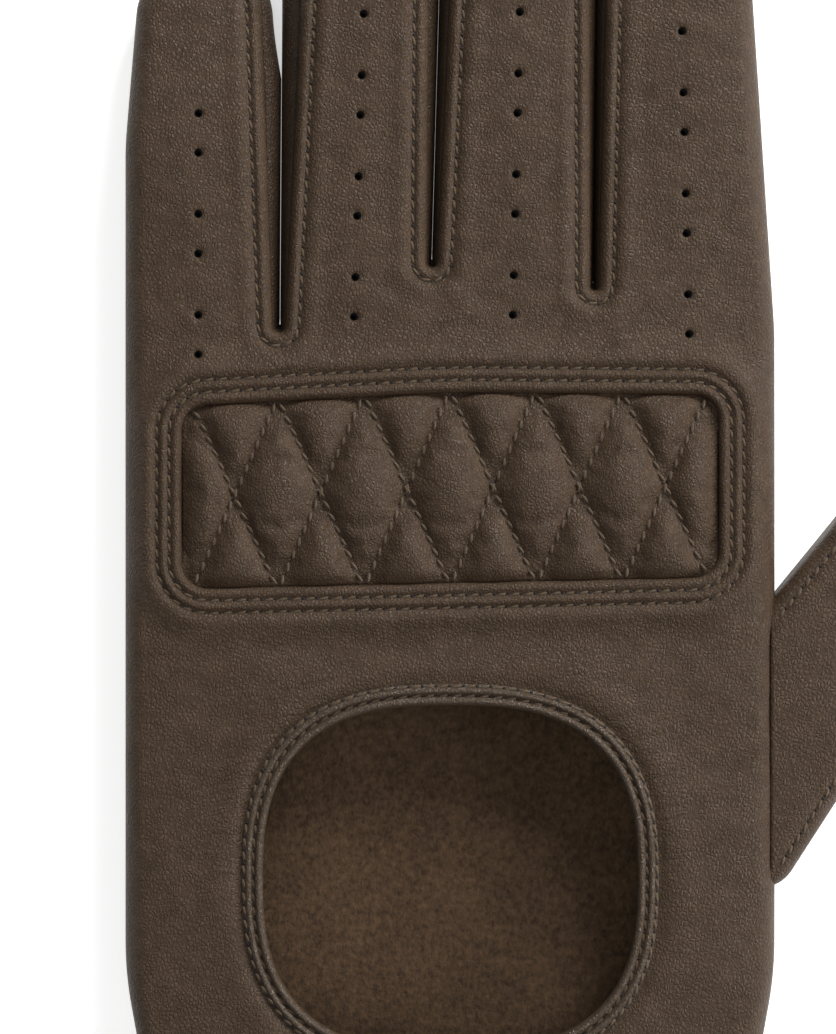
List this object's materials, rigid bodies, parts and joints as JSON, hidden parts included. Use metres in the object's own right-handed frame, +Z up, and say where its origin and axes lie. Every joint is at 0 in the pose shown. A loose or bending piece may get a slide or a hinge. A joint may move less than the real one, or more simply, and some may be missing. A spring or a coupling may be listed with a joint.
{
  "type": "leather driving glove",
  "caption": "Left-hand unlined leather driving glove with a quilted knuckle pad, perforated fingers, an opening over the back of the hand and a press-stud wrist strap.",
  "frame": {"origin": "middle of the palm, on the surface the glove lies on", "axes": "+X towards the thumb side, +Y towards the fingertips, +Z up through the back of the glove"},
  "size_m": [0.1501, 0.236, 0.0187],
  "materials": {
    "back_leather": "soft nappa leather with a low sheen",
    "palm_leather": "soft nappa leather with a low sheen",
    "gusset_leather": "soft nappa leather with a low sheen",
    "pad_leather": "quilted nappa leather, low sheen",
    "binding_leather": "folded strip, satin",
    "strap_leather": "two layers sewn together, satin",
    "facing_leather": "matt",
    "thread": "twisted polyester, satin",
    "wadding": "matt fibre wadding",
    "backing": "matt woven cotton",
    "stud_metal": "antique plated",
    "spring_steel": "drawn wire"
  },
  "bodies": {
    "hand": {"gusset_little_ring": "gusset_leather", "gusset_middle_index": "gusset_leather", "gusset_ring_middle": "gusset_leather", "hand_back": "back_leather", "hand_palm": "palm_leather", "hem_thread": "thread", "knuckle_backing": "backing", "knuckle_cover": "pad_leather", "knuckle_seam_far": "thread", "knuckle_seam_near": "thread", "knuckle_wadding": "wadding", "opening_binding": "binding_leather", "opening_seam_far": "thread", "opening_seam_near": "thread", "quilting_thread": "thread", "slit_thread_little_ring": "thread", "slit_thread_middle_index": "thread", "slit_thread_ring_middle": "thread", "strap_patch": "strap_leather", "strap_sewn_end": "strap_leather", "strap_sewn_thread": "thread", "stud_post": "stud_metal", "stud_rivet": "stud_metal", "thumb_base_back": "back_leather", "thumb_base_palm": "palm_leather", "thumb_base_thread": "thread", "wrist_facing": "facing_leather"},
    "little_tip": {"little_tip_back": "back_leather", "little_tip_gusset_ring_side": "gusset_leather", "little_tip_palm": "palm_leather", "little_tip_thread": "thread"},
    "ring_tip": {"ring_tip_back": "back_leather", "ring_tip_gusset_little_side": "gusset_leather", "ring_tip_gusset_middle_side": "gusset_leather", "ring_tip_palm": "palm_leather", "ring_tip_thread": "thread"},
    "middle_tip": {"middle_tip_back": "back_leather", "middle_tip_gusset_index_side": "gusset_leather", "middle_tip_gusset_ring_side": "gusset_leather", "middle_tip_palm": "palm_leather", "middle_tip_thread": "thread"},
    "index_tip": {"index_tip_back": "back_leather", "index_tip_gusset_middle_side": "gusset_leather", "index_tip_palm": "palm_leather", "index_tip_thread": "thread"},
    "thumb_tip": {"thumb_tip_back": "back_leather", "thumb_tip_palm": "palm_leather", "thumb_tip_thread": "thread"},
    "strap": {"snap_cap": "stud_metal", "snap_socket": "stud_metal", "snap_spring": "spring_steel", "strap": "strap_leather", "strap_thread": "thread"}
  },
  "joints": [
    {"name": "little_bend", "type": "hinge", "parent": "hand", "child": "little_tip", "pos_m": [-0.0407, 0.0905, 0.007], "axis": [-1, 0, 0], "range_deg": [0, 80]},
    {"name": "ring_bend", "type": "hinge", "parent": "hand", "child": "ring_tip", "pos_m": [-0.01466, 0.0966, 0.007], "axis": [-0.9995, 0.0318, 0], "range_deg": [0, 80]},
    {"name": "middle_bend", "type": "hinge", "parent": "hand", "child": "middle_tip", "pos_m": [0.01072, 0.0969, 0.007], "axis": [-0.9997, 0.0231, 0], "range_deg": [0, 80]},
    {"name": "index_bend", "type": "hinge", "parent": "hand", "child": "index_tip", "pos_m": [0.03786, 0.0938, 0.007], "axis": [-0.9997, -0.0233, 0], "range_deg": [0, 80]},
    {"name": "thumb_bend", "type": "hinge", "parent": "hand", "child": "thumb_tip", "pos_m": [0.07131, 0.02607, 0.0063], "axis": [-0.809, 0.5878, 0], "range_deg": [0, 60]},
    {"name": "strap_lift", "type": "hinge", "parent": "hand", "child": "strap", "pos_m": [0.012, -0.062, 0.01645], "axis": [0, 1, 0], "range_deg": [0, 120]}
  ]
}
